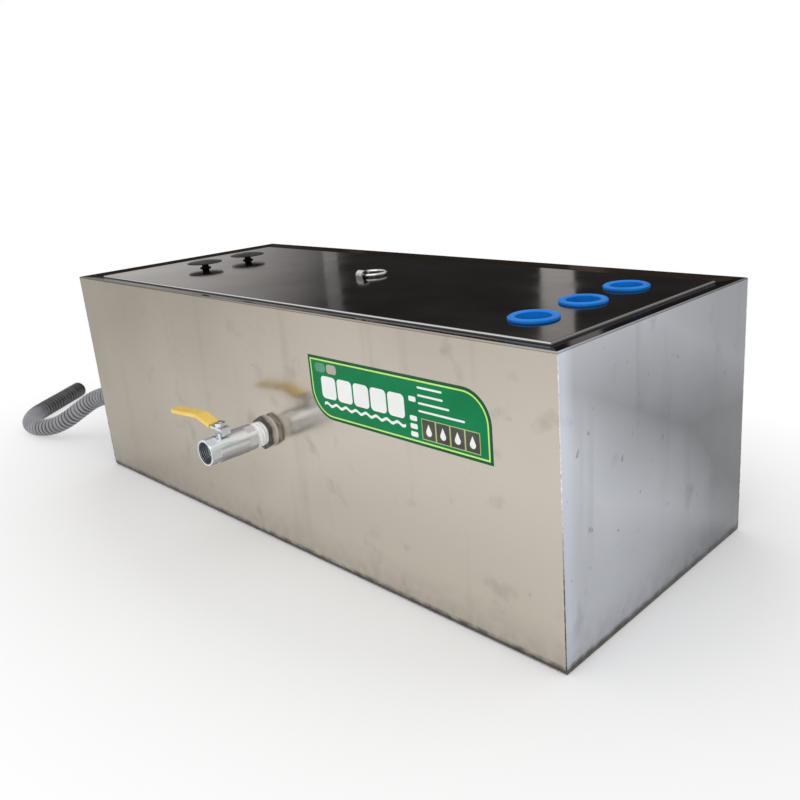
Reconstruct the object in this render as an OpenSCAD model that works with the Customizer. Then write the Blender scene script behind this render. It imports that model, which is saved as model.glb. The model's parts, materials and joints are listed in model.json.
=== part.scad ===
// Under-sink grease trap: a folded and welded stainless tank with a loose lid,
// a strainer basket, two baffles, an oil drain valve and a drain hose.
// Origin: centre of the tank's floor. +X along the tank, -Y towards the valve, +Z up.

/* [Tank] */
// Outside length of the tank
tank_l = 1000; // [900:10:1400]
// Outside width of the tank
tank_w = 400; // [380:5:600]
// Outside height of the tank
tank_h = 345; // [335:5:500]
// Thickness of the tank, lid and baffle sheet
sheet_t = 1.5; // [1:0.1:1.8]
// Outside radius of the folded edges of the tank
bend_r = 2.5; // [2.2:0.1:4]
// Width of the flange that is folded inwards round the top
flange_w = 26; // [22:1:34]
// How far the flange falls towards its inner edge
flange_drop = 3.8; // [1:0.2:5]
// Height of the floor pan's turned-up lip
floor_lip = 5; // [4:0.5:12]

/* [Lid] */
// Gap between the flange and the lid, all round
lid_gap = 2.4; // [1:0.1:4]
// How far the lid's top lies below the tank's top edge
lid_drop = 1.5; // [0:0.5:4]
// Depth of the lid's turned-down edge
lid_skirt = 8; // [6:0.5:14]
// Outside radius of the lid's folded edge
lid_bend_r = 3; // [2.2:0.1:4]
// Width of the ledge that carries the lid
ledge_w = 18; // [14:1:24]
// Thickness of the lid's seal
gasket_t = 3; // [2:0.5:5]
// Width of the lid's seal
gasket_w = 12; // [8:1:14]

/* [Inlets] */
// Distance from the right end to the row of inlets
inlet_inset = 108; // [100:1:130]
// Distance between neighbouring inlets
inlet_pitch = 94; // [80:1:110]
// Clear bore of an inlet sleeve
inlet_bore_d = 40.4; // [32:0.2:42]
// Outside diameter of an inlet sleeve's collar
grommet_d = 58; // [56:0.5:66]
// Height of the collar above the lid
grommet_rise = 4; // [3:0.5:7]
// Length of the sleeve below the lid's sheet
grommet_depth = 14; // [10:1:18]
// Wall of the sleeve where it passes the lid
grommet_wall = 5; // [4:0.5:6]

/* [Lid ring and knobs] */
// Diameter of the ring at the middle of its wire
ring_d = 40; // [34:1:60]
// Diameter of the ring's wire
ring_wire = 5; // [4:0.5:6]
// Place of the strap that holds the ring, from the lid's middle to the back
strap_y = 5; // [-20:1:20]
// Width of the strap
strap_w = 13; // [10:1:18]
// Thickness of the strap
strap_t = 1.5; // [1:0.1:2]
// Diameter of a knob's cap
knob_d = 58; // [40:1:75]
// Height of a knob above the lid
knob_h = 13; // [10:0.5:20]
// Distance between the two knobs
knob_pitch = 86; // [80:1:200]
// Distance from the left end to the knobs
knob_inset = 145; // [90:1:200]
// Thread diameter of a knob's screw
knob_screw_d = 6; // [4:0.5:8]

/* [Strainer basket] */
// Length of the basket along the tank
basket_l = 190; // [140:5:200]
// Width of the basket across the tank
basket_w = 278; // [200:2:280]
// Depth of the basket
basket_h = 160; // [100:5:200]
// Sheet thickness of the basket
basket_t = 1.2; // [0.8:0.1:2]
// Width of the rim that hangs on the rails
basket_rim = 14; // [10:1:14]
// Distance from the right end of the tank to the basket's wall
basket_inset = 52; // [52:1:70]
// Diameter of the holes in the basket's floor
basket_hole_d = 10; // [4:1:14]
// Distance between the basket's holes and slots
basket_hole_pitch = 26; // [20:1:40]
// Height of the slots in the basket's walls
basket_slot_h = 90; // [40:5:90]
// Width of the slots in the basket's walls
basket_slot_w = 6; // [3:1:10]
// Wire diameter of the basket's handles
basket_wire = 5; // [3:0.5:6]
// Radius of the basket's handles
basket_handle_r = 24; // [16:1:25]
// Distance from the tank's top down to the rails' shelf
rail_drop = 47; // [45:1:75]

/* [Baffles] */
// Distance from the basket's wall to the inlet baffle
inlet_baffle_gap = 23; // [22:1:60]
// Distance from the left end of the tank to the outlet baffle
outlet_baffle_inset = 250; // [200:5:380]
// Height of the gap under the baffles
underflow_h = 70; // [40:5:100]
// Distance from the tank's top down to the baffles' top edge
baffle_drop = 49; // [49:2:105]
// Width of the baffles' folded edges
baffle_fold = 14; // [10:1:20]

/* [Oil valve] */
// Place of the valve along the tank
valve_x = 14; // [-60:1:60]
// Height of the valve's axis above the floor
valve_z = 169.5; // [120:0.5:220]
// Length of the valve's body
valve_len = 71; // [68:0.5:80]
// Diameter of the valve's barrel
valve_d = 36; // [35.5:0.5:40]
// Width across the flats at the valve's ends
valve_af = 34; // [33:0.5:35]
// Diameter at the crests of the inside pipe thread
pipe_thread_d = 30.3; // [29:0.1:31]
// Depth of the valve's outer thread
outer_thread_l = 14; // [11:0.5:14]
// Distance from the tank's wall to the valve's body
valve_standoff = 27; // [24:0.5:30]
// Distance from the valve's outer face to its stem
stem_inset = 27.5; // [27.5:0.5:29]
// Bore through the valve's ball
port_d = 15; // [10:0.5:16]
// Diameter of the valve's ball
ball_d = 24; // [22:0.5:24]
// Diameter of the valve's stem
stem_d = 9; // [7:0.5:10]
// Width across the flats of the pipe nuts
pipe_nut_af = 42; // [40:0.5:46]
// Thickness of the pipe nuts
pipe_nut_t = 9; // [7:0.5:10]
// Thickness of the pipe washers
pipe_washer_t = 2; // [2:0.5:4]

/* [Valve lever] */
// Reach of the lever from the stem to its tip
lever_reach = 116; // [96:1:150]
// Width of the lever's steel strip
lever_w = 14; // [12:0.5:18]
// Thickness of the lever's steel strip
lever_t = 2.5; // [2:0.25:3]
// How far the lever's grip lies above its hub
lever_rise = 9; // [6:0.5:20]
// Wall of the sleeve round the lever
sleeve_t = 1.3; // [1:0.1:2]
// Angle of the lever from fully closed
lever_angle = 0; // [0:1:90]

/* [Outlet and hose] */
// Place of the outlet across the tank
outlet_y = -152; // [-152:1:-100]
// Height of the outlet's axis above the floor
outlet_z = 106; // [90:1:140]
// Outside diameter of the outlet's tail
tail_d = 26; // [22:0.5:26]
// Bore of the outlet
outlet_bore_d = 20; // [14:0.5:20]
// Outside diameter of the drain hose
hose_d = 34; // [32:0.5:34]
// Length of the smooth cuff on the hose's near end
cuff_l = 43; // [30:1:50]
// Length of the smooth cuff on the hose's far end
end_cuff_l = 34; // [24:1:50]
// Width of the hose clamp's band
clamp_w = 12; // [8:1:14]
// Outside diameter of the riser pipe inside the tank
riser_d = 34; // [32:0.5:38]
// Height of the riser's open top above the floor
riser_top = 235; // [200:5:280]
// Radius of the riser's elbow
riser_bend_r = 40; // [30:1:50]

/* [Front label] */
// Length of the label
label_l = 293; // [200:1:300]
// Height of the label
label_h = 79.5; // [60:0.5:100]
// Radius of the label's two round corners
label_r = 38; // [10:1:40]
// Distance from the tank's right end to the label
label_inset = 84; // [40:1:160]
// Height of the label's lower edge above the floor
label_z = 213; // [150:1:230]
// Thickness of the label
label_t = 0.4; // [0.2:0.1:1]

/* [Hidden] */
$fn = 64;
// Clearance of parts that push or screw together
fit_gap = 0.05;
// Clearance of parts that move past each other
run_gap = 0.3;
// Clearance of a hole that a screw or pipe passes
hole_gap = 0.5;
// Overlap of cutting shapes past the face they cut
cut = 1;
// Small turned-off edge of machined parts
edge_cut = 1;

// Heights of the lid, its seal and its ledge
lid_top = tank_h - lid_drop;
lid_under = lid_top - sheet_t;
gasket_top = lid_top - lid_skirt;
ledge_top = gasket_top - gasket_t;
flange_low = tank_h - flange_drop;
opening_l = tank_l - 2 * flange_w;
opening_w = tank_w - 2 * flange_w;
lid_l = opening_l - 2 * lid_gap;
lid_w = opening_w - 2 * lid_gap;

// Inlet row and lid holes
inlet_x = tank_l / 2 - inlet_inset;
lid_hole_d = inlet_bore_d + 2 * grommet_wall + 2 * fit_gap;
grommet_lip = 2.5;

// Ring pull: the ring lies flat on the lid, in the strap's arch
ring_z = lid_top + ring_wire / 2 + run_gap;
strap_room = 4;
strap_r = ring_wire / 2 + strap_room;

// Knobs
knob_x = -tank_l / 2 + knob_inset;
knob_foot_d = 18;
knob_foot_h = 1.5;
knob_neck_d = 11;
knob_crown = 3;
knob_edge = 1;
knob_slope = 3.5;
knob_hole_l = knob_h - knob_crown - hole_gap;
knob_head_d = 2 * knob_screw_d;
knob_head_h = 4;

// Inside faces of the tank, and the depth of its mitred corners
inside_x = tank_l / 2 - sheet_t;
inside_y = tank_w / 2 - sheet_t;
mitre = flange_w + cut;

// Baffles, strainer basket and its rails
baffle_top = tank_h - baffle_drop;
rail_z = tank_h - rail_drop;
basket_x1 = tank_l / 2 - basket_inset;
basket_x0 = basket_x1 - basket_l;
basket_mid = (basket_x0 + basket_x1) / 2;
inlet_baffle_x = basket_x0 - inlet_baffle_gap;
outlet_baffle_x = outlet_baffle_inset - tank_l / 2;
basket_end_rim = 4;
basket_floor = rail_z - basket_h;
rail_gap = 4;
rail_inner_y = basket_w / 2 + rail_gap;
rail_leg = 24;

// Pipe through the front wall, in distances from the wall's outer face
nipple_d = pipe_thread_d - 2 * fit_gap;
nipple_wall = 3;
nipple_bore_d = nipple_d - 2 * nipple_wall;
nipple_grip = 15;
nipple_inside = 18;
wall_hole_d = pipe_thread_d + 2 * hole_gap;
washer_edge = 1;
washer_d = pipe_nut_af + 2 * washer_edge;
tape_t = 1.4;

// Valve, in distances from the wall's outer face
valve_end = valve_standoff + valve_len;
stem_at = valve_end - stem_inset;
flats_l = 14;
inner_thread_l = 16;
cavity_gap = 1;
cavity_d = ball_d + 2 * cavity_gap;
seat_t = 5;
seat_in = ball_d / 2 - seat_t;
barrel_top = valve_z + valve_d / 2;
boss_d = 16;
boss_h = 1.5;
boss_top = barrel_top + boss_h;
gland_af = 13;
gland_h = 6;
packing_d = 13;
packing_h = 5;
boss_root = 4;
tang_w = 4;
tang_l = 4;
insert_gap = 1.5;

// Lever stack above the valve
lever_z = boss_top + gland_h + run_gap;
lever_nut_af = 13;
lever_nut_h = 5.5;
stem_end = 1.5;
stem_top = lever_z + lever_t + lever_nut_h + stem_end;
stem_flat = 1.5;
stem_flats_w = stem_d - 2 * stem_flat;
stem_end_d = stem_d - edge_cut;
knee_in = 13;
knee_out = 45;
lever_fall = 5.5;
stop_in = 10;
stop_h = lever_z - barrel_top - 2 * run_gap;
lug_d = 4;
lug_root = 6;
lug_gap = 2;
stop_side = lever_w / 2 + lug_d / 2 + run_gap;
sleeve_from = 15.5;
sleeve_end = 6;
lever_tip = lever_reach - sleeve_end;

// Outlet, in distances from the left wall's outer face
outlet_gasket_t = 3;
outlet_flange_d = 44;
outlet_flange_t = 6;
tail_from = outlet_gasket_t + outlet_flange_t;
tail_gap = 2;
tail_l = cuff_l - tail_gap;
barb_h = 0.8;
barb_pitch = 8;
barbs = 4;
outlet_nut_t = 8;
outlet_nut_af = 38;
inner_tail_d = 27.8;
inner_tail_l = 34;
riser_gap = 1;
inner_tail_from = sheet_t + outlet_nut_t + riser_gap + inner_tail_l;
cuff_bore_d = tail_d + 2 * barb_h + 2 * fit_gap;
cuff_wall = 4;
cuff_d = cuff_bore_d + 2 * cuff_wall;
clamp_t = 0.9;
clamp_at = tail_from + cuff_l / 2;
clamp_inner_d = cuff_d + 2 * fit_gap;
clamp_outer_d = clamp_inner_d + 2 * clamp_t;
clamp_box_w = 16;
clamp_box_h = 7;
clamp_screw_d = 6;
clamp_screw_over = 1;
clamp_head_d = 8;
clamp_head_h = 4;
riser_from = sheet_t + outlet_nut_t + riser_gap;
riser_socket_l = inner_tail_l + tail_gap;
riser_bore_d = inner_tail_d + 2 * fit_gap;

// Route of the hose's centre line: it leaves the near cuff, droops to the floor and lies there
hose_route = [
    [-552, -152, 106],
    [-582, -153, 104],
    [-612, -157, 97],
    [-642, -165, 85],
    [-672, -178, 66],
    [-702, -192, 46],
    [-732, -205, 31],
    [-764, -216, 22],
    [-798, -222, 18],
    [-833, -219, 17],
    [-866, -205, 17],
    [-895, -183, 17],
    [-918, -155, 17],
    [-939, -127, 17],
    [-960, -99, 17],
    [-978, -75, 17]
];
hose_sides = 10;
end_cuff_wall = 4;
hose_last = len(hose_route) - 1;

// Shared shapes

// Section of a folded sheet: a rectangle on the ground with round upper and lower corners
module sheet_section(w, h, r_top, r_bottom) {
    translate([-w / 2, r_bottom]) square([w, h - r_top - r_bottom]);
    translate([-w / 2 + r_top, h / 2]) square([w - 2 * r_top, h / 2]);
    translate([-w / 2 + r_bottom, 0]) square([w - 2 * r_bottom, h / 2]);
    for (side = [-1, 1]) {
        translate([side * (w / 2 - r_top), h - r_top]) circle(r_top);
        if (r_bottom > 0) translate([side * (w / 2 - r_bottom), r_bottom]) circle(r_bottom);
    }
}

// Block with mitred, rounded upper edges; its long lower edges can be rounded too
module folded_block(l, w, h, r, r_floor = 0) {
    intersection() {
        translate([0, w / 2, 0]) rotate([90, 0, 0]) linear_extrude(w) sheet_section(l, h, r, 0);
        rotate([90, 0, 90]) translate([0, 0, -l / 2]) linear_extrude(l) sheet_section(w, h, r, r_floor);
    }
}

// Flat rectangular frame that stands on z
module flat_frame(l_out, w_out, l_in, w_in, z, h) {
    translate([0, 0, z]) difference() {
        translate([-l_out / 2, -w_out / 2, 0]) cube([l_out, w_out, h]);
        translate([-l_in / 2, -w_in / 2, -cut]) cube([l_in, w_in, h + 2 * cut]);
    }
}

// Round tube along +Z
module tube(d_out, d_in, h) {
    difference() {
        cylinder(d = d_out, h = h);
        translate([0, 0, -cut]) cylinder(d = d_in, h = h + 2 * cut);
    }
}

// Hexagon nut along +Z, with both outer corners turned off
module hex_nut(af, h, bore_d) {
    corner_r = af / sqrt(3);
    slope = (corner_r - af / 2) / 2;
    difference() {
        intersection() {
            rotate([0, 0, 30]) cylinder(r = corner_r, h = h, $fn = 6);
            rotate_extrude() polygon([
                [0, 0], [af / 2, 0], [corner_r, slope], [corner_r, h - slope], [af / 2, h], [0, h]
            ]);
        }
        translate([0, 0, -cut]) cylinder(d = bore_d, h = h + 2 * cut);
    }
}

// Strip of constant thickness along a path of points, with round bends
module strip_section(points, t) {
    for (i = [0 : len(points) - 2]) {
        run = points[i + 1] - points[i];
        translate(points[i]) rotate(atan2(run.y, run.x)) translate([0, -t / 2]) square([norm(run), t]);
    }
    for (i = [1 : len(points) - 2]) translate(points[i]) circle(d = t);
}

// Places: the valve's axis points out of the front wall, the outlet's out of the left wall
module on_valve_axis(d) {
    translate([valve_x, -tank_w / 2, valve_z]) rotate([90, 0, 0]) translate([0, 0, d]) children();
}
module on_outlet_axis(d) {
    translate([-tank_l / 2, outlet_y, outlet_z]) rotate([0, -90, 0]) translate([0, 0, d]) children();
}
// The stem's axis; local +X points along the lever
module on_stem() {
    translate([valve_x, -tank_w / 2 - stem_at, 0]) rotate([0, 0, 180 + lever_angle]) children();
}

// Tank

// Space above the flange, which falls from the bends of the walls to the opening
module flange_slope_section(w) {
    outer = w / 2 - bend_r;
    inner = w / 2 - flange_w;
    polygon([
        [-outer, tank_h + cut], [-outer, tank_h], [-inner, flange_low], [inner, flange_low],
        [outer, tank_h], [outer, tank_h + cut]
    ]);
}
module above_flange() {
    intersection() {
        translate([0, tank_w, 0]) rotate([90, 0, 0]) linear_extrude(2 * tank_w) flange_slope_section(tank_l);
        rotate([90, 0, 90]) translate([0, 0, -tank_l]) linear_extrude(2 * tank_l) flange_slope_section(tank_w);
    }
}

// All the tank's sheets together, with an inward flange round the open top
module tank_shell() {
    difference() {
        folded_block(tank_l, tank_w, tank_h, bend_r, bend_r);
        difference() {
            translate([0, 0, sheet_t]) folded_block(
                tank_l - 2 * sheet_t, tank_w - 2 * sheet_t, tank_h - 2 * sheet_t,
                bend_r - sheet_t, bend_r - sheet_t
            );
            translate([0, 0, -sheet_t]) above_flange();
        }
        above_flange();
        translate([-opening_l / 2, -opening_w / 2, flange_low - sheet_t - cut])
            cube([opening_l, opening_w, flange_drop + sheet_t + 2 * cut]);
    }
}

// One wall with its flange: the shell above the floor pan's lip, between the mitres at its two ends
module wall_panel(outline) {
    intersection() {
        tank_shell();
        translate([0, 0, floor_lip]) linear_extrude(tank_h) polygon(outline);
    }
}
function long_side(side) = [
    [-tank_l / 2 - cut, side * (tank_w / 2 + cut)], [tank_l / 2 + cut, side * (tank_w / 2 + cut)],
    [tank_l / 2 - mitre, side * (tank_w / 2 - mitre)], [-tank_l / 2 + mitre, side * (tank_w / 2 - mitre)]
];
function short_side(side) = [
    [side * (tank_l / 2 + cut), -tank_w / 2 - cut], [side * (tank_l / 2 + cut), tank_w / 2 + cut],
    [side * (tank_l / 2 - mitre), tank_w / 2 - mitre], [side * (tank_l / 2 - mitre), -tank_w / 2 + mitre]
];

// Floor sheet with a low lip turned up all round, on which the walls are welded
module floor_pan() {
    color("silver") intersection() {
        tank_shell();
        translate([-tank_l, -tank_w, -cut]) cube([2 * tank_l, 2 * tank_w, floor_lip + cut]);
    }
}

// Front wall with the valve pipe's hole
module front_panel() {
    color("silver") difference() {
        wall_panel(long_side(-1));
        on_valve_axis(-sheet_t - cut) cylinder(d = wall_hole_d, h = sheet_t + 2 * cut);
    }
}
module back_panel() { color("silver") wall_panel(long_side(1)); }

// Left end with the outlet's hole, and the plain right end
module end_panel_left() {
    color("silver") difference() {
        wall_panel(short_side(-1));
        on_outlet_axis(-sheet_t - cut) cylinder(d = inner_tail_d + 2 * hole_gap, h = sheet_t + 2 * cut);
    }
}
module end_panel_right() { color("silver") wall_panel(short_side(1)); }

// Folded angle frame, welded under the flange, that carries the lid
module rim_ledge() {
    outer_l = opening_l + 2 * sheet_t;
    outer_w = opening_w + 2 * sheet_t;
    color("gray") {
        flat_frame(outer_l, outer_w, opening_l, opening_w, ledge_top, flange_low - sheet_t - ledge_top);
        flat_frame(
            outer_l, outer_w, opening_l - 2 * ledge_w, opening_w - 2 * ledge_w, ledge_top - sheet_t, sheet_t
        );
    }
}

// Soft strip between the ledge and the lid's edge
module lid_gasket() {
    color("dimgray")
        flat_frame(lid_l, lid_w, lid_l - 2 * gasket_w, lid_w - 2 * gasket_w, ledge_top, gasket_t);
}

// Lid

// Shallow folded pan that lies in the flange's opening
module lid() {
    color([0.12, 0.11, 0.11]) difference() {
        translate([0, 0, gasket_top]) folded_block(lid_l, lid_w, lid_skirt, lid_bend_r);
        translate([0, 0, gasket_top - cut]) folded_block(
            lid_l - 2 * sheet_t, lid_w - 2 * sheet_t, lid_skirt - sheet_t + cut, lid_bend_r - sheet_t
        );
        for (i = [-1 : 1])
            translate([inlet_x, i * inlet_pitch, lid_under - cut])
                cylinder(d = lid_hole_d, h = sheet_t + 2 * cut);
        for (side = [-1, 1])
            translate([knob_x, side * knob_pitch / 2, lid_under - cut])
                cylinder(d = knob_screw_d + 2 * hole_gap, h = sheet_t + 2 * cut);
    }
}

// Soft sleeve that clips into a hole of the lid: domed collar, neck and tapered lower lip
module inlet_grommet(place) {
    bore_r = inlet_bore_d / 2;
    neck_r = bore_r + grommet_wall;
    lip_r = neck_r + grommet_lip;
    collar_r = grommet_d / 2;
    collar_mid = (bore_r + collar_r) / 2;
    dome_r = 1.5 * (collar_r - bore_r) / 2;
    color([0.16, 0.43, 0.78]) translate([inlet_x, place * inlet_pitch, lid_top]) {
        rotate_extrude() intersection() {
            translate([bore_r, 0]) square([collar_r - bore_r, grommet_rise]);
            translate([collar_mid, grommet_rise - dome_r]) circle(dome_r);
        }
        rotate_extrude() polygon([
            [bore_r, grommet_rise / 4], [neck_r, grommet_rise / 4], [neck_r, -sheet_t], [lip_r, -sheet_t],
            [lip_r, -sheet_t - grommet_depth / 4], [bore_r + grommet_wall / 2, -sheet_t - grommet_depth],
            [bore_r, -sheet_t - grommet_depth]
        ]);
    }
}
module inlet_grommet_front() { inlet_grommet(-1); }
module inlet_grommet_middle() { inlet_grommet(0); }
module inlet_grommet_back() { inlet_grommet(1); }

// Bent strap, welded to the middle of the lid, that holds the ring
module ring_strap() {
    outer_r = strap_r + strap_t;
    leg = ring_z - lid_top;
    color("lightgray") translate([-strap_w / 2, strap_y, ring_z]) rotate([90, 0, 90]) linear_extrude(strap_w)
        difference() {
            union() {
                circle(outer_r);
                translate([-outer_r, -leg]) square([2 * outer_r, leg]);
            }
            circle(strap_r);
            translate([-strap_r, -leg - outer_r]) square([2 * strap_r, leg + outer_r]);
            translate([-2 * outer_r, -leg - 2 * outer_r]) square([4 * outer_r, 2 * outer_r]);
        }
}

// Round wire ring that folds down on the lid
module lid_ring() {
    color("lightgray") translate([0, strap_y + ring_d / 2, ring_z])
        rotate_extrude() translate([ring_d / 2, 0]) circle(d = ring_wire, $fn = 32);
}

// Mushroom knob with a low crown and a blind hole for its screw
module lid_knob(side) {
    cap_r = knob_d / 2;
    foot_r = knob_foot_d / 2;
    neck_r = knob_neck_d / 2;
    edge_low = knob_h - knob_crown - knob_edge;
    crown_r = (cap_r * cap_r + knob_crown * knob_crown) / (2 * knob_crown);
    color([0.08, 0.08, 0.08]) translate([knob_x, side * knob_pitch / 2, lid_top]) difference() {
        rotate_extrude() intersection() {
            polygon([
                [0, 0], [foot_r, 0], [foot_r, knob_foot_h], [neck_r, knob_foot_h + edge_cut],
                [neck_r, edge_low - knob_slope], [cap_r, edge_low], [cap_r, knob_h], [0, knob_h]
            ]);
            translate([0, knob_h - crown_r]) circle(crown_r, $fn = 256);
        }
        translate([0, 0, -cut]) cylinder(d = knob_screw_d, h = knob_hole_l + cut);
    }
}
module lid_knob_front() { lid_knob(-1); }
module lid_knob_back() { lid_knob(1); }

// Pan-head screws that hold the knobs from below the lid
module knob_screws() {
    color("gray") for (side = [-1, 1]) translate([knob_x, side * knob_pitch / 2, lid_under]) {
        translate([0, 0, -knob_head_h]) cylinder(d = knob_head_d, h = knob_head_h);
        cylinder(d = knob_screw_d - 2 * fit_gap, h = sheet_t + knob_hole_l - hole_gap);
    }
}

// Inside of the tank

// Folded shelf strip, welded to a long wall, that carries the basket's rim
module basket_rail() {
    rail_x0 = inlet_baffle_x + sheet_t + baffle_fold;
    shelf = inside_y - rail_inner_y;
    length = inside_x - rail_x0;
    color("silver") translate([rail_x0, 0, 0]) {
        translate([0, rail_inner_y, rail_z - sheet_t]) cube([length, shelf, sheet_t]);
        translate([0, inside_y - sheet_t, rail_z - rail_leg]) cube([length, sheet_t, rail_leg]);
    }
}
module basket_rail_front() { mirror([0, 1, 0]) basket_rail(); }
module basket_rail_back() { basket_rail(); }

// Perforated box with a rim all round and two welded wire handles; it lifts out
module strainer_basket() {
    slots_x = floor((basket_l - basket_hole_pitch) / basket_hole_pitch);
    slots_y = floor((basket_w - basket_hole_pitch) / basket_hole_pitch);
    slot_z = basket_floor + (basket_h - basket_slot_h) / 2;
    color("silver") {
        difference() {
            union() {
                translate([basket_x0, -basket_w / 2, basket_floor]) cube([basket_l, basket_w, basket_h]);
                translate([basket_x0 - basket_end_rim, -basket_w / 2 - basket_rim, rail_z])
                    cube([basket_l + 2 * basket_end_rim, basket_w + 2 * basket_rim, basket_t]);
            }
            translate([basket_x0 + basket_t, -basket_w / 2 + basket_t, basket_floor + basket_t])
                cube([basket_l - 2 * basket_t, basket_w - 2 * basket_t, basket_h + 2 * basket_t]);
            for (i = [1 : slots_x], j = [1 : slots_y])
                translate([
                    basket_mid + (i - (slots_x + 1) / 2) * basket_hole_pitch,
                    (j - (slots_y + 1) / 2) * basket_hole_pitch,
                    basket_floor - cut
                ]) cylinder(d = basket_hole_d, h = basket_t + 2 * cut);
            for (i = [1 : slots_x])
                translate([
                    basket_mid + (i - (slots_x + 1) / 2) * basket_hole_pitch - basket_slot_w / 2,
                    -basket_w / 2 - cut, slot_z
                ]) cube([basket_slot_w, basket_w + 2 * cut, basket_slot_h]);
            for (j = [1 : slots_y])
                translate([
                    basket_x0 - cut, (j - (slots_y + 1) / 2) * basket_hole_pitch - basket_slot_w / 2, slot_z
                ]) cube([basket_l + 2 * cut, basket_slot_w, basket_slot_h]);
        }
        for (side = [-1, 1])
            translate([basket_mid, side * (basket_w / 2 + basket_rim / 2), rail_z + basket_t])
                rotate([90, 0, 0]) rotate_extrude(angle = 180)
                    translate([basket_handle_r, 0]) circle(d = basket_wire, $fn = 24);
    }
}

// Cross wall with folded side edges; water passes under it and the oil stays behind
module baffle(x) {
    color("silver") translate([x, 0, underflow_h]) {
        translate([0, -inside_y, 0]) cube([sheet_t, 2 * inside_y, baffle_top - underflow_h]);
        for (side = [-1, 1])
            translate([sheet_t, side > 0 ? inside_y - sheet_t : -inside_y, 0])
                cube([baffle_fold, sheet_t, baffle_top - underflow_h]);
        translate([sheet_t, -inside_y + sheet_t, baffle_top - underflow_h - sheet_t])
            cube([baffle_fold, 2 * (inside_y - sheet_t), sheet_t]);
    }
}
module inlet_baffle() { baffle(inlet_baffle_x); }
module outlet_baffle() { baffle(outlet_baffle_x); }

// Pipe through the front wall

// Threaded pipe nipple from inside the tank into the valve
module valve_nipple() {
    length = nipple_inside + sheet_t + valve_standoff + nipple_grip;
    color("silver") on_valve_axis(-nipple_inside - sheet_t) tube(nipple_d, nipple_bore_d, length);
}

// Soft washers on both faces of the wall
module pipe_washer(d) {
    color("tan") on_valve_axis(d) tube(washer_d, pipe_thread_d, pipe_washer_t);
}
module pipe_washer_outer() { pipe_washer(0); }
module pipe_washer_inner() { pipe_washer(-sheet_t - pipe_washer_t); }

// Hexagon nuts that clamp the washers
module pipe_nut_outer() {
    color([0.36, 0.31, 0.27]) on_valve_axis(pipe_washer_t) hex_nut(pipe_nut_af, pipe_nut_t, pipe_thread_d);
}
module pipe_nut_inner() {
    color([0.36, 0.31, 0.27]) on_valve_axis(-sheet_t - pipe_washer_t - pipe_nut_t)
        hex_nut(pipe_nut_af, pipe_nut_t, pipe_thread_d);
}

// White sealing tape wound on the thread between the nut and the valve
module thread_tape() {
    tape_from = pipe_washer_t + pipe_nut_t;
    color("white") on_valve_axis(tape_from)
        tube(pipe_thread_d + 2 * tape_t, pipe_thread_d, valve_standoff - tape_from);
}

// Valve

// One-piece barrel with wrench flats at both ends, a stem boss and two stop lugs for the lever
module valve_body() {
    barrel_r = valve_d / 2;
    color("gainsboro") difference() {
        union() {
            on_valve_axis(valve_standoff) intersection() {
                rotate_extrude() polygon([
                    [0, 0], [barrel_r - edge_cut, 0], [barrel_r, edge_cut], [barrel_r, valve_len - edge_cut],
                    [barrel_r - edge_cut, valve_len], [0, valve_len]
                ]);
                union() {
                    translate([0, 0, flats_l]) cylinder(r = barrel_r + cut, h = valve_len - 2 * flats_l);
                    rotate([0, 0, 30]) cylinder(r = valve_af / sqrt(3), h = valve_len, $fn = 6);
                }
            }
            translate([valve_x, -tank_w / 2 - stem_at, barrel_top - boss_root])
                cylinder(d = boss_d, h = boss_top - barrel_top + boss_root);
            for (place = [[stop_in, -stop_side], [-stop_side, stop_in]])
                translate([valve_x + place.x, -tank_w / 2 - stem_at + place.y, barrel_top - lug_root])
                    cylinder(d = lug_d, h = lever_z - lug_gap - barrel_top + lug_root);
        }
        on_valve_axis(valve_standoff - cut) cylinder(d = pipe_thread_d, h = inner_thread_l + cut);
        on_valve_axis(valve_end - outer_thread_l) cylinder(d = pipe_thread_d, h = outer_thread_l + cut);
        on_valve_axis(valve_standoff) cylinder(d = cavity_d, h = stem_at + ball_d / 2 - valve_standoff);
        on_valve_axis(stem_at) cylinder(d = port_d, h = valve_end - stem_at - cut);
        translate([valve_x, -tank_w / 2 - stem_at, valve_z])
            cylinder(d = stem_d + 2 * fit_gap, h = boss_top - valve_z + cut);
        translate([valve_x, -tank_w / 2 - stem_at, boss_top - packing_h])
            cylinder(d = packing_d, h = packing_h + cut);
    }
}

// Ring that is pressed in behind the ball to hold its seats
module valve_insert() {
    insert_from = valve_standoff + inner_thread_l + insert_gap;
    color("silver") on_valve_axis(insert_from)
        tube(cavity_d - 2 * fit_gap, port_d, stem_at - ball_d / 2 - insert_from);
}

// Two soft seat rings, hollowed to the ball
module valve_seats() {
    color("white") difference() {
        for (d = [stem_at - ball_d / 2, stem_at + seat_in])
            on_valve_axis(d) tube(cavity_d - 2 * fit_gap, port_d, seat_t);
        on_valve_axis(stem_at) sphere(d = ball_d + 2 * run_gap);
    }
}

// Drilled ball; its bore lies across the flow when the lever is closed
module valve_ball() {
    color("silver") on_stem() translate([0, 0, valve_z]) difference() {
        sphere(d = ball_d);
        rotate([0, 90, 0]) translate([0, 0, -ball_d]) cylinder(d = port_d, h = 2 * ball_d);
        translate([-ball_d, -tang_w / 2 - fit_gap, ball_d / 2 - tang_l])
            cube([2 * ball_d, tang_w + 2 * fit_gap, 2 * tang_l]);
    }
}

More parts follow.
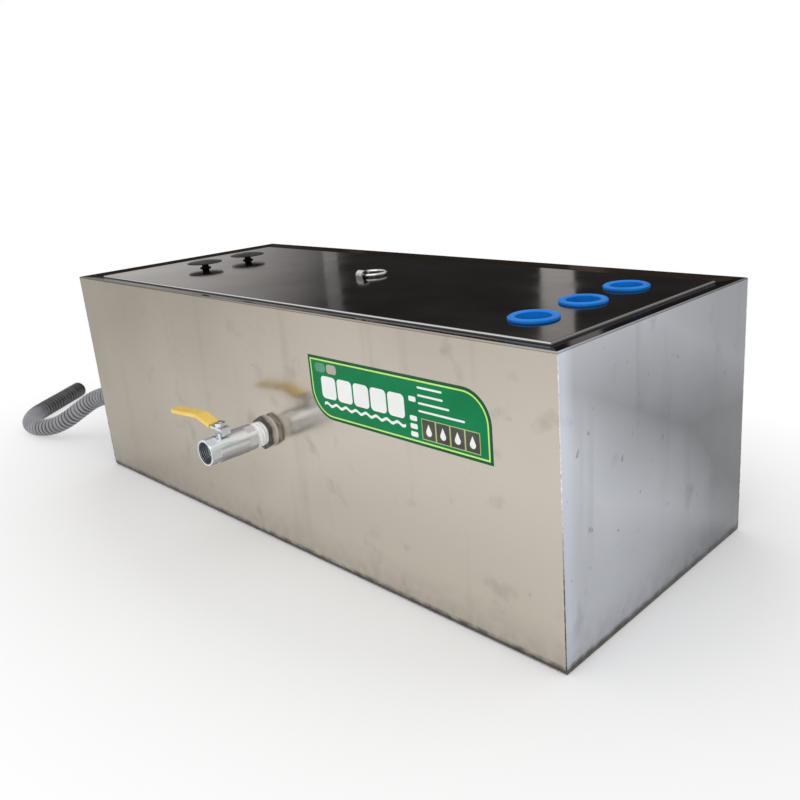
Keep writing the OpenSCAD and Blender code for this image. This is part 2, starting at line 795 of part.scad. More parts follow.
// Stem with a flat tang in the ball and flats for the lever
module valve_stem() {
    tang_bottom = valve_z + ball_d / 2 - tang_l + fit_gap;
    cavity_top = valve_z + cavity_d / 2 - cavity_gap;
    color("silver") on_stem() {
        intersection() {
            translate([0, 0, tang_bottom]) cylinder(d = stem_end_d, h = cavity_top - tang_bottom);
            translate([-stem_d, -tang_w / 2, tang_bottom])
                cube([2 * stem_d, tang_w, cavity_top - tang_bottom]);
        }
        translate([0, 0, cavity_top]) cylinder(d = stem_d, h = lever_z - cavity_top);
        intersection() {
            translate([0, 0, lever_z]) cylinder(d = stem_end_d, h = stem_top - lever_z);
            translate([-stem_d, -stem_flats_w / 2, lever_z])
                cube([2 * stem_d, stem_flats_w, stem_top - lever_z]);
        }
    }
}

// Soft packing round the stem, in the boss
module stem_packing() {
    color("white") translate([valve_x, -tank_w / 2 - stem_at, boss_top - packing_h])
        tube(packing_d, stem_d + 2 * run_gap, packing_h);
}

// Hexagon gland nut on the boss that presses the packing
module gland_nut() {
    color("gainsboro") translate([valve_x, -tank_w / 2 - stem_at, boss_top])
        hex_nut(gland_af, gland_h, stem_d + 2 * run_gap);
}

// Path of the lever's strip from its hub to its tip, at the middle of its thickness
function lever_path(from, to) = [
    [from, lever_z + lever_t / 2],
    [knee_in, lever_z + lever_t / 2],
    [knee_out, lever_z + lever_t / 2 + lever_rise],
    [to, lever_z + lever_t / 2 + lever_rise - lever_fall * (to - knee_out) / (lever_reach - knee_out)]
];

// Bent steel strip with a turned-down stop tab, held on the stem's flats
module valve_lever() {
    color("silver") on_stem() difference() {
        union() {
            translate([0, lever_w / 2, 0]) rotate([90, 0, 0]) linear_extrude(lever_w)
                strip_section(lever_path(-stop_in, lever_tip), lever_t);
            translate([-stop_in - lever_t / 2, -lever_w / 2, lever_z - stop_h + run_gap])
                cube([lever_t, lever_w, stop_h + lever_t / 2]);
        }
        intersection() {
            cylinder(d = stem_end_d + 2 * fit_gap, h = 2 * stem_top);
            translate([-stem_d, -stem_flats_w / 2 - fit_gap, 0])
                cube([2 * stem_d, stem_flats_w + 2 * fit_gap, 2 * stem_top]);
        }
    }
}

// Soft sleeve dipped over the lever's grip, with a round tip
module lever_sleeve() {
    width = lever_w + 2 * sleeve_t;
    slope_z = lever_rise * (sleeve_from - knee_in) / (knee_out - knee_in);
    start = [sleeve_from, lever_z + lever_t / 2 + slope_z];
    path = lever_path(sleeve_from, lever_reach);
    color([0.94, 0.7, 0.22]) on_stem() difference() {
        intersection() {
            translate([0, width / 2, 0]) rotate([90, 0, 0]) linear_extrude(width)
                strip_section([start, path[2], path[3]], lever_t + 2 * sleeve_t);
            union() {
                translate([0, -width / 2, 0]) cube([lever_reach - width / 2, width, 2 * stem_top]);
                translate([lever_reach - width / 2, 0, 0]) cylinder(d = width, h = 2 * stem_top);
            }
        }
        translate([0, lever_w / 2, 0]) rotate([90, 0, 0]) linear_extrude(lever_w)
            strip_section(lever_path(0, lever_tip), lever_t);
    }
}

// Nut that holds the lever on the stem
module lever_nut() {
    color("gainsboro") on_stem() translate([0, 0, lever_z + lever_t])
        hex_nut(lever_nut_af, lever_nut_h, stem_end_d + 2 * fit_gap);
}

// Outlet

// Turned spigot: inner tail, flange on the wall and a barbed tail for the hose
module outlet_spigot() {
    color("silver") difference() {
        union() {
            on_outlet_axis(-inner_tail_from)
                cylinder(d = inner_tail_d, h = inner_tail_from + outlet_gasket_t);
            on_outlet_axis(outlet_gasket_t) cylinder(d = outlet_flange_d, h = outlet_flange_t);
            on_outlet_axis(tail_from) cylinder(d = tail_d, h = tail_l);
            for (i = [1 : barbs]) on_outlet_axis(tail_from + i * barb_pitch)
                cylinder(d1 = tail_d + 2 * barb_h, d2 = tail_d, h = barb_pitch / 2);
        }
        on_outlet_axis(-inner_tail_from - cut)
            cylinder(d = outlet_bore_d, h = inner_tail_from + tail_from + tail_l + 2 * cut);
    }
}

// Soft washer under the spigot's flange
module outlet_gasket() {
    color("dimgray") on_outlet_axis(0) tube(outlet_flange_d, inner_tail_d + 2 * fit_gap, outlet_gasket_t);
}

// Nut that holds the spigot from inside
module outlet_nut() {
    color("silver") on_outlet_axis(-sheet_t - outlet_nut_t)
        hex_nut(outlet_nut_af, outlet_nut_t, inner_tail_d + 2 * fit_gap);
}

// Bent pipe that sets the water level: socket on the spigot, elbow and open riser
module outlet_riser() {
    socket_x = -tank_l / 2 + riser_from;
    bend_x = socket_x + riser_socket_l;
    color("lightgray") translate([0, outlet_y, 0]) {
        translate([socket_x, 0, outlet_z]) rotate([0, 90, 0]) tube(riser_d, riser_bore_d, riser_socket_l);
        translate([bend_x, 0, outlet_z + riser_bend_r]) rotate([90, 0, 0]) rotate([0, 0, -90])
            rotate_extrude(angle = 90) translate([riser_bend_r, 0]) difference() {
                circle(d = riser_d);
                circle(d = riser_bore_d);
            }
        translate([bend_x + riser_bend_r, 0, outlet_z + riser_bend_r])
            tube(riser_d, riser_bore_d, riser_top - outlet_z - riser_bend_r);
    }
}

// Hose

// Smooth cuff on the hose's end, pushed over the barbed tail
module hose_cuff() {
    color([0.25, 0.25, 0.27]) on_outlet_axis(tail_from) tube(cuff_d, cuff_bore_d, cuff_l);
}

// Worm clamp: band with a screw housing on top
module hose_clamp() {
    color("silver") on_outlet_axis(clamp_at - clamp_w / 2) difference() {
        union() {
            cylinder(d = clamp_outer_d, h = clamp_w);
            translate([0, -clamp_box_w / 2, 0]) cube([clamp_outer_d / 2 + clamp_box_h, clamp_box_w, clamp_w]);
        }
        translate([0, 0, -cut]) cylinder(d = clamp_inner_d, h = clamp_w + 2 * cut);
        translate([(clamp_outer_d + clamp_box_h) / 2, -clamp_box_w / 2 - cut, clamp_w / 2])
            rotate([-90, 0, 0]) cylinder(d = clamp_screw_d + 2 * fit_gap, h = clamp_box_w + 2 * cut);
    }
}

// Screw across the clamp's housing, with a hexagon head
module clamp_screw() {
    screw_l = clamp_box_w + 2 * clamp_screw_over;
    color("gray") on_outlet_axis(clamp_at)
        translate([(clamp_outer_d + clamp_box_h) / 2, -screw_l / 2, 0]) rotate([-90, 0, 0]) {
            cylinder(d = clamp_screw_d, h = screw_l);
            translate([0, 0, screw_l - clamp_screw_over])
                cylinder(d = clamp_head_d, h = clamp_head_h, $fn = 6);
        }
}

// Direction of the hose at one point of its route
function hose_way(i) =
    let (way = i == 0 ? [-1, 0, 0] : hose_route[min(i + 1, hose_last)] - hose_route[i - 1])
    i == hose_last ? unit(hose_route[i] - hose_route[i - 1]) : unit(way);
function unit(v) = v / norm(v);
// One ring of the hose's skin
function hose_ring(i) =
    let (way = hose_way(i), side = unit(cross([0, 0, 1], way)), up = cross(way, side))
    [for (k = [0 : hose_sides - 1])
        hose_route[i] + hose_d / 2 * (cos(360 * (k + 0.5) / hose_sides) * side
            + sin(360 * (k + 0.5) / hose_sides) * up)];

// Corrugated drain hose, as one plain tube along its route
module drain_hose() {
    points = [for (i = [0 : hose_last]) each hose_ring(i)];
    walls = [for (i = [0 : hose_last - 1], k = [0 : hose_sides - 1])
        let (a = i * hose_sides + k, b = i * hose_sides + (k + 1) % hose_sides)
        each [[a, a + hose_sides, b], [b, a + hose_sides, b + hose_sides]]];
    near_end = [for (k = [0 : hose_sides - 1]) k];
    far_end = [for (k = [hose_sides - 1 : -1 : 0]) hose_last * hose_sides + k];
    color([0.55, 0.55, 0.57]) polyhedron(points, concat(walls, [near_end], [far_end]));
}

// Smooth cuff on the hose's free end
module hose_end_cuff() {
    way = hose_way(hose_last);
    color([0.15, 0.15, 0.16]) translate(hose_route[hose_last])
        rotate([0, 90, atan2(way.y, way.x)]) tube(hose_d, hose_d - 2 * end_cuff_wall, end_cuff_l);
}

// Printed label on the front wall: two square and two round corners
module front_label() {
    color([0.08, 0.5, 0.32])
        translate([tank_l / 2 - label_inset - label_l, -tank_w / 2, label_z]) rotate([90, 0, 0])
            linear_extrude(label_t) {
                translate([label_r, 0]) square([label_l - label_r, label_h - label_r]);
                translate([0, label_r]) square([label_l - label_r, label_h - label_r]);
                translate([label_r, label_r]) circle(label_r);
                translate([label_l - label_r, label_h - label_r]) circle(label_r);
            }
}

floor_pan();
front_panel();
back_panel();
end_panel_left();
end_panel_right();
rim_ledge();
lid_gasket();
lid();
inlet_grommet_front();
inlet_grommet_middle();
inlet_grommet_back();
ring_strap();
lid_ring();
lid_knob_front();
lid_knob_back();
knob_screws();
basket_rail_front();
basket_rail_back();
strainer_basket();
inlet_baffle();
outlet_baffle();
valve_nipple();
pipe_washer_outer();
pipe_washer_inner();
pipe_nut_outer();
pipe_nut_inner();
thread_tape();
valve_body();
valve_insert();
valve_seats();
valve_ball();
valve_stem();
stem_packing();
gland_nut();
valve_lever();
lever_sleeve();
lever_nut();
outlet_spigot();
outlet_gasket();
outlet_nut();
outlet_riser();
hose_cuff();
hose_clamp();
clamp_screw();
drain_hose();
hose_end_cuff();
front_label();
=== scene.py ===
# Grease trap under a kitchen sink: the looks of its pieces, in metres, in the part's own frame.
import json
import math
import random

import bpy
from mathutils import Matrix, Vector


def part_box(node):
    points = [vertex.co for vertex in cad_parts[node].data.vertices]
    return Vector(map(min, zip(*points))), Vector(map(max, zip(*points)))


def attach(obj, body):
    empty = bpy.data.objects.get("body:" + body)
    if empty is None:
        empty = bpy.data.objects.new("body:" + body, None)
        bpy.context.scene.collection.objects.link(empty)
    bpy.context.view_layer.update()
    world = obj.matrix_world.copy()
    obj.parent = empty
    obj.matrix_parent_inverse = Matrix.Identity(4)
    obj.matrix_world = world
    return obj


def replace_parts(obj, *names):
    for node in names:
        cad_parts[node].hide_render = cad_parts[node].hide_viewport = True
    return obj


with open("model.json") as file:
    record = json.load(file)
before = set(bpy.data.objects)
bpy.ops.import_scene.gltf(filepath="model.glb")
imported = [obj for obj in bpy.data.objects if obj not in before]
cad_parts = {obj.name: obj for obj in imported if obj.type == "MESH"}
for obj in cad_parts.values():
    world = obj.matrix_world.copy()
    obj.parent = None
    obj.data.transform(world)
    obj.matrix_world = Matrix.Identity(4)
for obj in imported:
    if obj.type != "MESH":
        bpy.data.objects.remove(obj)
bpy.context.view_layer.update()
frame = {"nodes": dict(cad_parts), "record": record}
nodes = frame["nodes"]
random.seed(7)


# Tank walls and floor pan: five stainless sheets, 1.5 mm thick, with the satin finish of the mill.
# The walls have their flanges folded inwards at the top, and each sheet keeps a tone of its own:
# the front is warm, the right end cool. Across the front and the right end the tone drifts with
# painted light and shade of reflections. The polished upper faces are coloured near black, a painted
# reflection of a dark room.
tank_low, tank_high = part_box("end_panel_right")
tank_top = tank_high.z
tank_half_l = tank_high.x
tank_half_w = tank_high.y
wall_foot = tank_low.z
flange_drop = 0.006
flange_level = tank_top - flange_drop
# Dimmed specular tint of the flange tops, part of their painted reflection of a dark room.
flange_mirror = (0.40, 0.375, 0.36)
untinted = (1, 1, 1)
# Colour of the specks, and of the painted shadow line and darkening at the walls' foot.
speck_and_shade_tone = (0.07, 0.063, 0.056)
# Colour of the painted highlight beside the front corner.
corner_light = (0.70, 0.75, 0.86)


def new_finish(name):
    """A new node material, with its node tree and its surface shader."""
    material = bpy.data.materials.new(name)
    material.use_nodes = True
    tree = material.node_tree
    return material, tree, tree.nodes["Principled BSDF"]


def place_on_part(tree, stretch=(1, 1, 1)):
    """The place of a point on the part, in metres, stretched along the three axes."""
    place = tree.nodes.new("ShaderNodeTexCoord")
    mapping = tree.nodes.new("ShaderNodeMapping")
    mapping.inputs["Scale"].default_value = stretch
    tree.links.new(place.outputs["Object"], mapping.inputs["Vector"])
    return mapping.outputs["Vector"]


def cloud(tree, scale, detail=3, stretch=(1, 1, 1)):
    """Soft irregular patches, from 0 to 1."""
    noise = tree.nodes.new("ShaderNodeTexNoise")
    noise.inputs["Scale"].default_value = scale
    noise.inputs["Detail"].default_value = detail
    tree.links.new(place_on_part(tree, stretch), noise.inputs["Vector"])
    return noise.outputs["Fac"]


def spread(tree, value, at, to=(0, 1)):
    """The value, moved from one span to another and held at its ends."""
    span = tree.nodes.new("ShaderNodeMapRange")
    span.inputs["From Min"].default_value, span.inputs["From Max"].default_value = at
    span.inputs["To Min"].default_value, span.inputs["To Max"].default_value = to
    tree.links.new(value, span.inputs["Value"])
    return span.outputs["Result"]


def combine(tree, kind, first, second):
    """Two values joined by a sum, product or comparison; the second may be a plain number."""
    joint = tree.nodes.new("ShaderNodeMath")
    joint.operation = kind
    tree.links.new(first, joint.inputs[0])
    if isinstance(second, (int, float)):
        joint.inputs[1].default_value = second
    else:
        tree.links.new(second, joint.inputs[1])
    return joint.outputs["Value"]


def paint_over(tree, mask, under, upper):
    """Colour that goes from under to upper where the mask goes from 0 to 1."""
    mix = tree.nodes.new("ShaderNodeMix")
    mix.data_type = "RGBA"
    tree.links.new(mask, mix.inputs["Factor"])
    for socket, colour in ((mix.inputs["A"], under), (mix.inputs["B"], upper)):
        if isinstance(colour, tuple):
            socket.default_value = (*colour, 1)
        else:
            tree.links.new(colour, socket)
    return mix.outputs["Result"]


def relief(tree, shader, height, depth):
    """Surface relief of that depth, in metres."""
    bump = tree.nodes.new("ShaderNodeBump")
    bump.inputs["Distance"].default_value = depth
    tree.links.new(height, bump.inputs["Height"])
    tree.links.new(bump.outputs["Normal"], shader.inputs["Normal"])


def parts_of(tree, vector):
    """The X, Y and Z of a vector."""
    parts = tree.nodes.new("ShaderNodeSeparateXYZ")
    tree.links.new(vector, parts.inputs["Vector"])
    return parts.outputs


def position(tree):
    """The place of a point on the part, as X, Y and Z."""
    return parts_of(tree, place_on_part(tree))


def facing(tree):
    """The way that a face looks, as X, Y and Z."""
    return parts_of(tree, tree.nodes.new("ShaderNodeNewGeometry").outputs["Normal"])


def upper_faces(tree, above):
    """Mask of the level faces that look up, above a height."""
    nearly_level = 0.95
    level = combine(tree, "GREATER_THAN", facing(tree)["Z"], nearly_level)
    high = combine(tree, "GREATER_THAN", position(tree)["Z"], above)
    return combine(tree, "MULTIPLY", level, high)


def dark_room_reflection(tree):
    """Colour of the polished upper faces: near black with faint scuffs, a painted reflection of a dark room.
    """
    scuffs = spread(tree, cloud(tree, 24, 10, stretch=(1, 2.4, 1)), (0.50, 0.80))
    return paint_over(tree, scuffs, (0.082, 0.073, 0.069), (0.128, 0.117, 0.111))


def sheet_gloss(tree, shader, top):
    """Uneven satin gloss, higher on the polished upper faces, on a sheet that isn't quite flat."""
    wave_depth = 0.0010
    haze = spread(tree, cloud(tree, 14, 4), (0.3, 0.7), (0.145, 0.225))
    gloss = spread(tree, top, (0, 1), (0, 0.075))
    tree.links.new(combine(tree, "SUBTRACT", haze, gloss), shader.inputs["Roughness"])
    relief(tree, shader, cloud(tree, 4.5, 1), wave_depth)


def painted_shade_band(tree, place, height, tilt, reach, depth):
    """Painted shade and light: darker at a height, which falls with Y by the tilt, and lighter at the reach
    above and below it.
    """
    along = combine(tree, "ADD", place["Z"], combine(tree, "MULTIPLY", place["Y"], tilt))
    away = combine(tree, "ABSOLUTE", combine(tree, "SUBTRACT", along, height), 0)
    return spread(tree, away, (0, reach), (-depth, depth))


def foot_shade_and_haze(tree, place):
    """Mask of a thin dark line low on a wall, a painted shadow of the gap at its foot, and a faint darkening
    above it.
    """
    line_z = (wall_foot + 0.0055, wall_foot + 0.0025)
    haze_z = (wall_foot + 0.050, wall_foot)
    line = spread(tree, place["Z"], line_z, (0, 0.55))
    haze = spread(tree, place["Z"], haze_z, (0, 0.26))
    patchy = spread(tree, cloud(tree, 70, 5), (0.3, 0.6), (0.3, 1))
    return combine(tree, "MULTIPLY", combine(tree, "ADD", line, haze), patchy)


def sheet_steel(name, dark, light, axis, ends, band=(0, 0, 1, 0), corner_shine=0):
    """Satin steel sheet with water marks and specks, whose tone drifts from dark to light along an axis:
    a painted gradient of reflected light and shade.

    The band is that of painted_shade_band, the corner shine is a painted highlight on the strip beside
    the front corner, and the foot gets a painted shadow line.
    """
    material, tree, shader = new_finish(name)
    place = position(tree)
    shine_y = (0.024 - tank_half_w, 0.008 - tank_half_w)
    run_tone = tuple(0.62 * c for c in dark)
    smudge_tone = tuple(0.70 * c for c in dark)
    # Painted light and shade: the drift along the axis and the band.
    drift = combine(tree, "ADD", spread(tree, place[axis], ends), painted_shade_band(tree, place, *band))
    patches = spread(tree, cloud(tree, 3.5), (0.3, 0.7), (-0.13, 0.13))
    tone = paint_over(tree, combine(tree, "ADD", drift, patches), dark, light)
    runs = spread(tree, cloud(tree, 1, 5, stretch=(26, 26, 2.5)), (0.56, 0.80), (0, 0.22))
    marked = paint_over(tree, runs, tone, run_tone)
    smudges = spread(tree, cloud(tree, 21, 5), (0.60, 0.74), (0, 0.30))
    marked = paint_over(tree, smudges, marked, smudge_tone)
    # Painted highlight on the strip beside the front corner.
    shine = spread(tree, place["Y"], shine_y, (0, corner_shine))
    marked = paint_over(tree, shine, marked, corner_light)
    specks = spread(tree, cloud(tree, 95, 2), (0.720, 0.760), (0, 0.42))
    # Specks, and the painted shadow line and darkening at the foot.
    specks_and_shade = combine(tree, "MAXIMUM", specks, foot_shade_and_haze(tree, place))
    marked = paint_over(tree, specks_and_shade, marked, speck_and_shade_tone)
    # Upper faces: a near-black colour and a dimmed specular tint, a painted reflection of a dark room.
    top = upper_faces(tree, flange_level)
    tree.links.new(paint_over(tree, top, marked, dark_room_reflection(tree)), shader.inputs["Base Color"])
    shader.inputs["Metallic"].default_value = 1.0
    tree.links.new(paint_over(tree, top, untinted, flange_mirror), shader.inputs["Specular Tint"])
    sheet_gloss(tree, shader, top)
    return material


def dress(material, *names):
    """Gives CAD nodes a finish."""
    for name in names:
        nodes[name].data.materials.clear()
        nodes[name].data.materials.append(material)


# The drifts, bands and corner shine below are painted light and shade of reflections.
front_steel = sheet_steel(
    "front_sheet", (0.305, 0.269, 0.215), (0.605, 0.551, 0.480), axis="X", ends=(-0.56, 0.20),
    band=(tank_top, 0, tank_top, 0.33),
)
end_steel = sheet_steel(
    "end_sheet", (0.150, 0.155, 0.164), (0.530, 0.547, 0.587), axis="Y", ends=(0.12, -0.24),
    band=(0.220, 0.47, 0.11, 0.30), corner_shine=0.42,
)
plain_steel = sheet_steel(
    "plain_sheet", (0.36, 0.355, 0.345), (0.48, 0.475, 0.465), axis="X", ends=(-0.5, 0.5),
)
pan_steel = sheet_steel(
    "pan_sheet", (0.13, 0.125, 0.12), (0.20, 0.19, 0.18), axis="X", ends=(-0.5, 0.5),
)
dress(front_steel, "front_panel")
dress(end_steel, "end_panel_right")
dress(plain_steel, "back_panel", "end_panel_left")
dress(pan_steel, "floor_pan")


# Weld seams: thin rippled beads that join the walls at the four corners and stand them on the
# floor pan's lip. The corners are ground almost flush and show as bright broken lines in their upper
# half; farther down the seams are darker, and on the lip beads this dark is painted shadow of the gap
# at the walls' foot.
bead_r = 0.0008
bead_step = 0.0022
bead_sides = 8
bead_ripple = (0.62, 1.05)
bead_end = 0.003
lip_bead_r = 0.0005
lip_inset = 0.0002
darker_below_z = (0.20, 0.09)


def add_mesh(name, points, faces, material, body, smooth_deg=40):
    """A new piece from points and faces, shaded smooth up to an angle, riding on a body."""
    mesh = bpy.data.meshes.new(name)
    mesh.from_pydata([tuple(p) for p in points], [], faces)
    mesh.polygons.foreach_set("use_smooth", [True] * len(mesh.polygons))
    mesh.set_sharp_from_angle(angle=math.radians(smooth_deg))
    mesh.materials.append(material)
    piece = bpy.data.objects.new(name, mesh)
    bpy.context.scene.collection.objects.link(piece)
    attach(piece, body)
    return piece


def ring_faces(rows, sides):
    """The faces between rows of points, where each row is a ring."""
    faces = []
    for i in range(rows - 1):
        for k in range(sides):
            a = i * sides + k
            b = i * sides + (k + 1) % sides
            faces.append((a, b, b + sides, a + sides))
    return faces


def tube_rings(path, radii, sides, first_side=Vector((0, 0, 1))):
    """Points and faces of a closed tube round a path, with a radius for each of its points."""
    points = []
    side = first_side
    for i, centre in enumerate(path):
        way = (path[min(i + 1, len(path) - 1)] - path[max(i - 1, 0)]).normalized()
        side = (side - way * side.dot(way)).normalized()
        other = way.cross(side)
        for k in range(sides):
            angle = 2 * math.pi * k / sides
            points.append(centre + radii[i] * (math.cos(angle) * side + math.sin(angle) * other))
    faces = ring_faces(len(path), sides)
    last = (len(path) - 1) * sides
    faces.append(tuple(reversed(range(sides))))
    faces.append(tuple(range(last, last + sides)))
    return points, faces


def weld_finish():
    """Weld metal, bright from grinding on the upper half of the walls and darker below; on the lip beads
    that dark is painted shadow of the gap at the foot.
    """
    material, tree, shader = new_finish("weld_steel")
    heat = spread(tree, cloud(tree, 160, 3), (0.35, 0.65))
    bright_part = paint_over(tree, heat, (0.58, 0.56, 0.54), (0.94, 0.94, 0.93))
    darkened = paint_over(tree, heat, (0.045, 0.042, 0.039), (0.14, 0.13, 0.12))
    low = spread(tree, position(tree)["Z"], darker_below_z)
    tree.links.new(paint_over(tree, low, bright_part, darkened), shader.inputs["Base Color"])
    shader.inputs["Metallic"].default_value = 1.0
    shader.inputs["Roughness"].default_value = 0.28
    return material


def weld_bead(name, start, end, radius):
    """A rippled bead between two points."""
    count = round((end - start).length / bead_step)
    path = [start.lerp(end, i / count) for i in range(count + 1)]
    radii = [radius * random.uniform(*bead_ripple) for _ in path]
    points, faces = tube_rings(path, radii, bead_sides, first_side=Vector((1, 1, 0.3)))
    add_mesh(name, points, faces, weld_steel, "trap")


weld_steel = weld_finish()
corner_x = tank_half_l - bead_r / 2
corner_y = tank_half_w - bead_r / 2
for corner, x, y in (
    ("front_right", corner_x, -corner_y), ("front_left", -corner_x, -corner_y),
    ("back_right", corner_x, corner_y), ("back_left", -corner_x, corner_y),
):
    weld_bead("weld_" + corner, Vector((x, y, wall_foot)), Vector((x, y, tank_top - bead_end)), bead_r)
lip_y = tank_half_w - lip_inset
lip_x = tank_half_l - lip_inset
for side, a, b in (
    ("front", (-lip_x, -lip_y), (lip_x, -lip_y)), ("back", (-lip_x, lip_y), (lip_x, lip_y)),
    ("left", (-lip_x, -lip_y), (-lip_x, lip_y)), ("right", (lip_x, -lip_y), (lip_x, lip_y)),
):
    weld_bead("lip_weld_" + side, Vector((*a, wall_foot)), Vector((*b, wall_foot)), lip_bead_r)


# Inside: the ledge under the flange, the two baffles, the basket's rails and the perforated basket.
# They are folded from the same stainless sheet; the ledge, rails and baffles are spot welded,
# and the basket lifts out.
dress(plain_steel, "rim_ledge", "inlet_baffle", "outlet_baffle", "basket_rail_front", "basket_rail_back")


def basket_finish():
    """Bright sheet under a thin patchy film of grease."""
    material, tree, shader = new_finish("basket_steel")
    film = spread(tree, cloud(tree, 22, 5), (0.4, 0.7))
    tone = paint_over(tree, film, (0.56, 0.55, 0.53), (0.40, 0.38, 0.34))
    tree.links.new(tone, shader.inputs["Base Color"])
    shader.inputs["Metallic"].default_value = 1.0
    tree.links.new(spread(tree, film, (0, 1), (0.22, 0.42)), shader.inputs["Roughness"])
    return material


dress(basket_finish(), "strainer_basket")


# Lid seal: a strip of black cellular rubber, cut from sheet and glued on the ledge, on which the lid
# rests. The outlet's gasket is cut from the same rubber.
def rubber(name, dark, light, roughness, grain):
    """Matt rubber with a fine grain."""
    grain_depth = 0.0001
    uneven = 0.08
    material, tree, shader = new_finish(name)
    patches = spread(tree, cloud(tree, 60, 4), (0.35, 0.65))
    tree.links.new(paint_over(tree, patches, dark, light), shader.inputs["Base Color"])
    gloss = spread(tree, cloud(tree, 40, 3), (0.3, 0.7), (roughness - uneven, roughness + uneven))
    tree.links.new(gloss, shader.inputs["Roughness"])
    shader.inputs["Specular IOR Level"].default_value = 0.35
    relief(tree, shader, cloud(tree, grain, 2), grain_depth)
    return material


black_rubber = rubber(
    "black_rubber", (0.012, 0.012, 0.012), (0.026, 0.026, 0.026), roughness=0.62, grain=900,
)
dress(black_rubber, "lid_gasket", "outlet_gasket")


# Lid: a shallow pan folded from stainless sheet, polished on top and coloured near black there, a
# painted reflection of a dark room, so that it looks black. A painted highlight runs along its upper
# edge, and it lies loose on its seal.
lid_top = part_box("lid")[1].z
lid_mirror = (0.87, 0.83, 0.81)


def lid_finish():
    """Near-black top, a painted reflection of a dark room, and dull dark sides, with a painted highlight
    on the upper edge, bright in front and faint elsewhere.
    """
    material, tree, shader = new_finish("lid_sheet")
    highlight_z = (lid_top - 0.0016, lid_top - 0.0009)
    polished_from = lid_top - 0.0005
    top = upper_faces(tree, polished_from)
    # Painted highlight along the upper edge, bright on the front faces and faint on the others.
    bright_part = spread(tree, position(tree)["Z"], highlight_z)
    front = spread(tree, facing(tree)["Y"], (-0.8, -0.2), (1, 0.13))
    bright = combine(tree, "MULTIPLY", bright_part, front)
    edge = paint_over(tree, bright, (0.09, 0.09, 0.09), (0.93, 0.93, 0.92))
    # Near-black top, a painted reflection of a dark room, with a dimmed specular tint, over the sides.
    tree.links.new(paint_over(tree, top, edge, dark_room_reflection(tree)), shader.inputs["Base Color"])
    tree.links.new(spread(tree, top, (0, 1), (0.35, 1)), shader.inputs["Metallic"])
    tree.links.new(paint_over(tree, top, untinted, lid_mirror), shader.inputs["Specular Tint"])
    sheet_gloss(tree, shader, top)
    return material


dress(lid_finish(), "lid")


# Inlet sleeves: three soft blue rubber grommets, moulded in one piece each and clipped into the lid's
# holes. A drain pipe pushes into each of them from above.
def blue_finish():
    """Soft blue rubber with a faint grain."""
    material, tree, shader = new_finish("blue_rubber")
    patches = spread(tree, cloud(tree, 24, 3), (0.3, 0.7))
    tone = paint_over(tree, patches, (0.003, 0.178, 0.640), (0.008, 0.238, 0.780))
    tree.links.new(tone, shader.inputs["Base Color"])
    tree.links.new(spread(tree, cloud(tree, 70, 3), (0.3, 0.7), (0.34, 0.50)), shader.inputs["Roughness"])
    shader.inputs["Specular IOR Level"].default_value = 0.2
    relief(tree, shader, cloud(tree, 700, 2), depth=0.00008)
    return material


dress(blue_finish(), "inlet_grommet_front", "inlet_grommet_middle", "inlet_grommet_back")


# Lid ring and its strap: a bright wire ring that folds up for lifting the lid, in a bent strap welded
# to the lid. The knobs' screws are of the same bright steel.
def bright_metal(name, dark, light, roughness):
    """Polished metal with faint cloudy handling marks."""
    material, tree, shader = new_finish(name)
    marks = spread(tree, cloud(tree, 55, 4), (0.32, 0.68))
    tree.links.new(paint_over(tree, marks, dark, light), shader.inputs["Base Color"])
    shader.inputs["Metallic"].default_value = 1.0
    haze = spread(tree, cloud(tree, 120, 3), (0.3, 0.7), (roughness * 0.7, roughness * 1.4))
    tree.links.new(haze, shader.inputs["Roughness"])
    relief(tree, shader, cloud(tree, 320, 2), depth=0.00004)
    return material


bright_steel = bright_metal("bright_steel", (0.66, 0.66, 0.66), (0.82, 0.82, 0.81), roughness=0.10)
dress(bright_steel, "lid_ring", "ring_strap", "knob_screws")


# Knobs: two low black mushroom knobs, moulded in hard plastic with a dull grain. Each is screwed on
# from below, through the lid.
def black_plastic_finish():
    """Hard black plastic with a fine moulded grain."""
    material, tree, shader = new_finish("black_plastic")
    patches = spread(tree, cloud(tree, 90, 4), (0.35, 0.65))
    tone = paint_over(tree, patches, (0.004, 0.004, 0.004), (0.010, 0.010, 0.010))
    tree.links.new(tone, shader.inputs["Base Color"])
    tree.links.new(spread(tree, cloud(tree, 60, 3), (0.3, 0.7), (0.32, 0.48)), shader.inputs["Roughness"])
    shader.inputs["Specular IOR Level"].default_value = 0.12
    relief(tree, shader, cloud(tree, 1400, 2), depth=0.00006)
    return material


dress(black_plastic_finish(), "lid_knob_front", "lid_knob_back")


# Pipe through the front wall: a threaded steel nipple, clamped by two dark cast nuts on soft pale
# washers, one pair outside and one inside. The outer nut's face is dark, and its flats are worn to
# bare zinc towards the washer.
nut_low, nut_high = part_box("pipe_nut_outer")
nut_depth = nut_high.y - nut_low.y
worn_y = (nut_low.y + 0.15 * nut_depth, nut_low.y + 0.75 * nut_depth)


def nut_finish():
    """Cast metal with dark oxide, which gives way to bare zinc from the outside inwards."""
    material, tree, shader = new_finish("dark_nut")
    oxide = spread(tree, cloud(tree, 110, 5), (0.35, 0.65))
    cast = paint_over(tree, oxide, (0.052, 0.046, 0.040), (0.165, 0.148, 0.132))
    zinc = paint_over(tree, oxide, (0.40, 0.37, 0.32), (0.62, 0.59, 0.54))
    worn = spread(tree, position(tree)["Y"], worn_y)
    tree.links.new(paint_over(tree, worn, cast, zinc), shader.inputs["Base Color"])
    tree.links.new(spread(tree, worn, (0, 1), (0.75, 0.20)), shader.inputs["Metallic"])
    tree.links.new(spread(tree, oxide, (0, 1), (0.34, 0.55)), shader.inputs["Roughness"])
    relief(tree, shader, cloud(tree, 420, 4), depth=0.00018)
    return material


